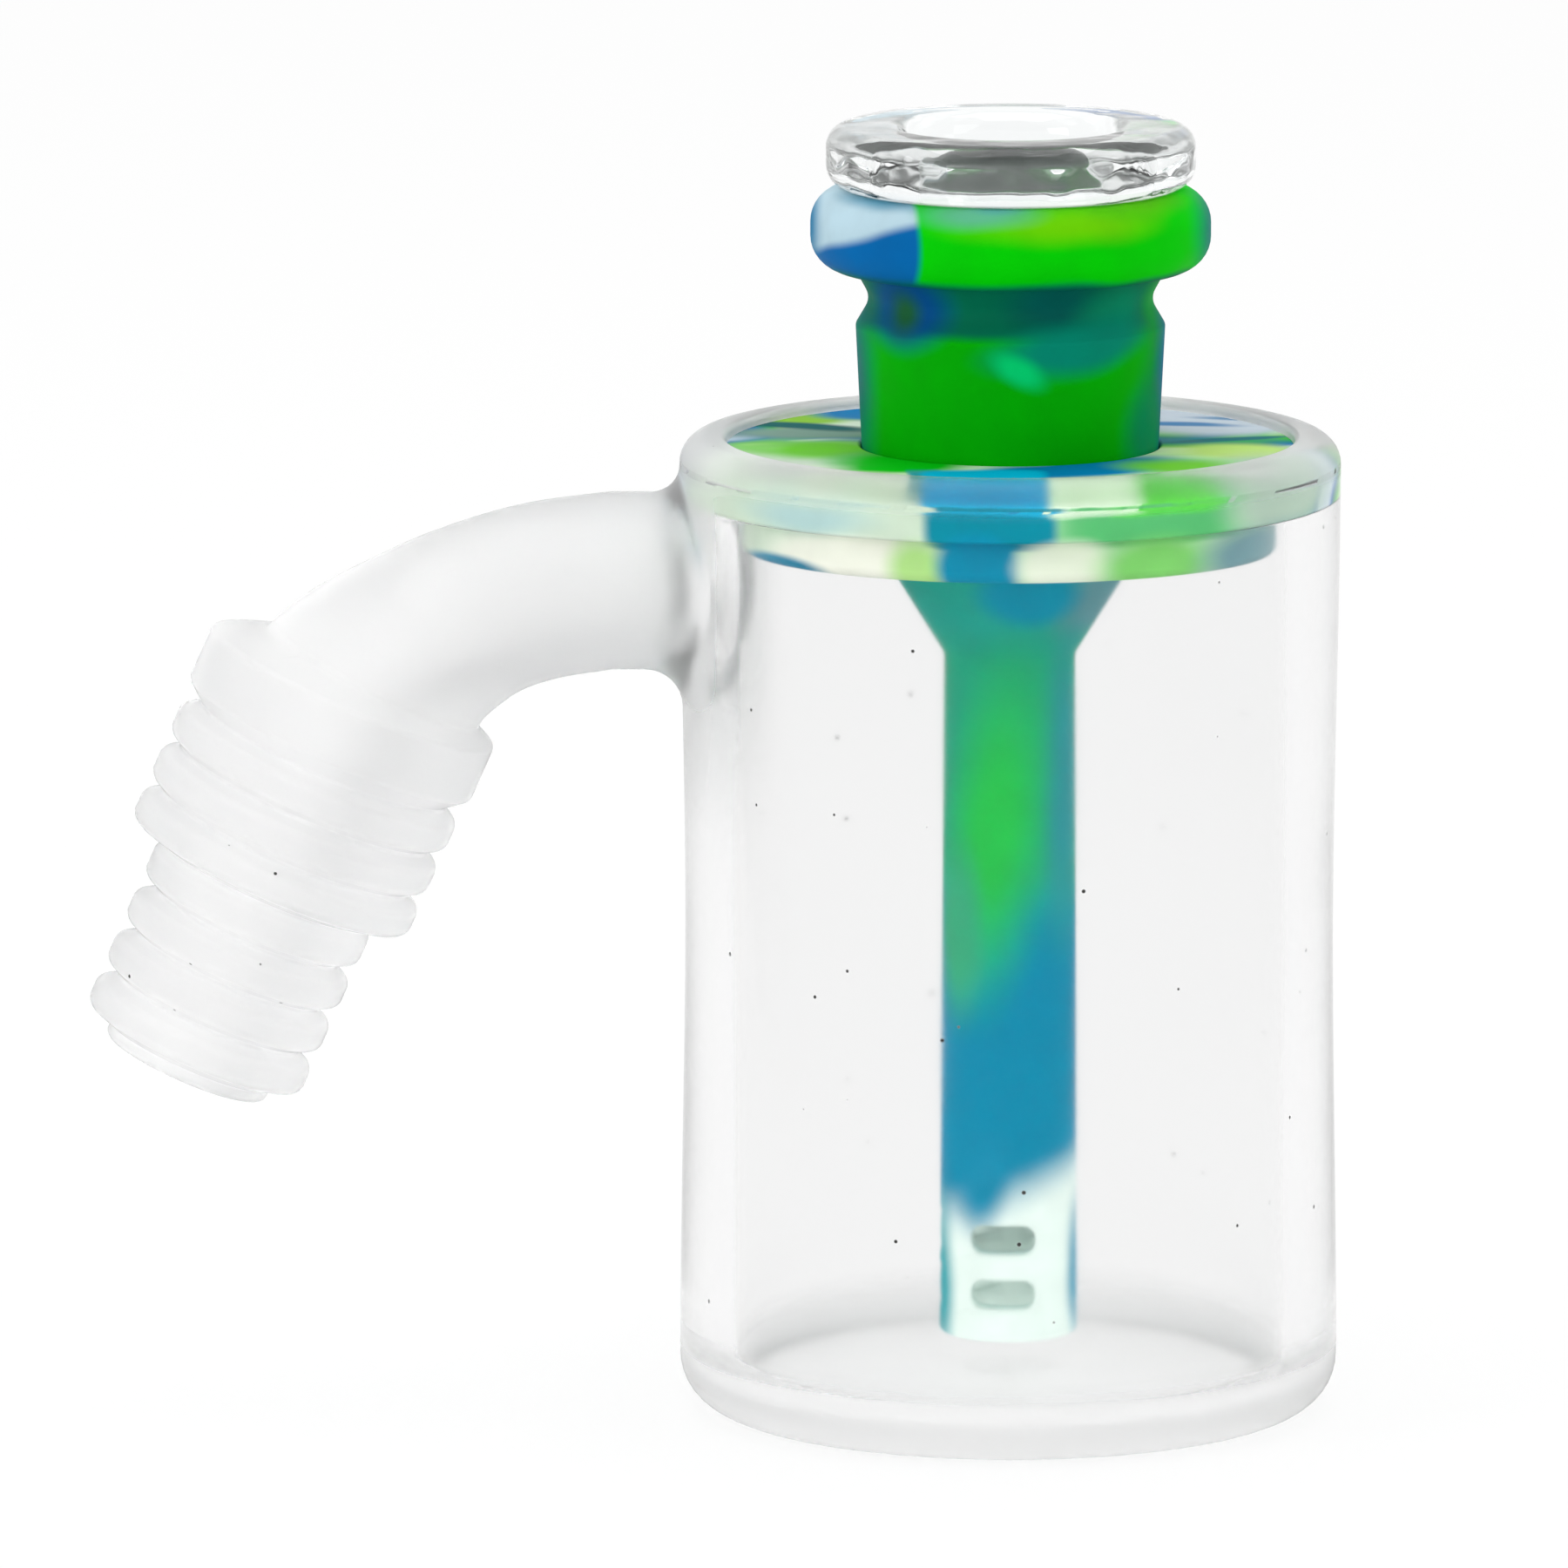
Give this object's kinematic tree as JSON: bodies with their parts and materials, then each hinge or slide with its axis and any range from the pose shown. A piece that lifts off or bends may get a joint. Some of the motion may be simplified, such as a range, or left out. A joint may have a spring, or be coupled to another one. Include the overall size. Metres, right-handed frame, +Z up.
{
  "type": "water pipe ash catcher",
  "caption": "Clear silicone cup with a bent side arm and ribbed plug, a marbled lid with a hanging slotted downstem, and a clear glass bowl that lifts out.",
  "frame": {"origin": "centre of the cup's flat base, on the table", "axes": "+Z up along the axis of the cup, lid, downstem and bowl; the side arm and plug point towards -X, in the XZ plane"},
  "size_m": [0.0816, 0.043, 0.0845],
  "materials": {
    "clear_silicone": "translucent moulded silicone, satin",
    "marbled_silicone": "green, blue and white marbled silicone, satin",
    "clear_glass": "fire-polished"
  },
  "bodies": {
    "cup": {"chamber_cup": "clear_silicone"},
    "lid": {"lid": "marbled_silicone"},
    "stem": {"downstem": "marbled_silicone"},
    "bowl": {"glass_bowl": "clear_glass"}
  },
  "joints": [
    {"name": "lid_lift", "type": "slide", "parent": "cup", "child": "lid", "axis": [0, 0, 1], "range_m": [0, 0.066]},
    {"name": "downstem_lift", "type": "slide", "parent": "lid", "child": "stem", "axis": [0, 0, 1], "range_m": [0, 0.064]},
    {"name": "bowl_lift", "type": "slide", "parent": "stem", "child": "bowl", "axis": [0, 0, 1], "range_m": [0, 0.026]}
  ]
}
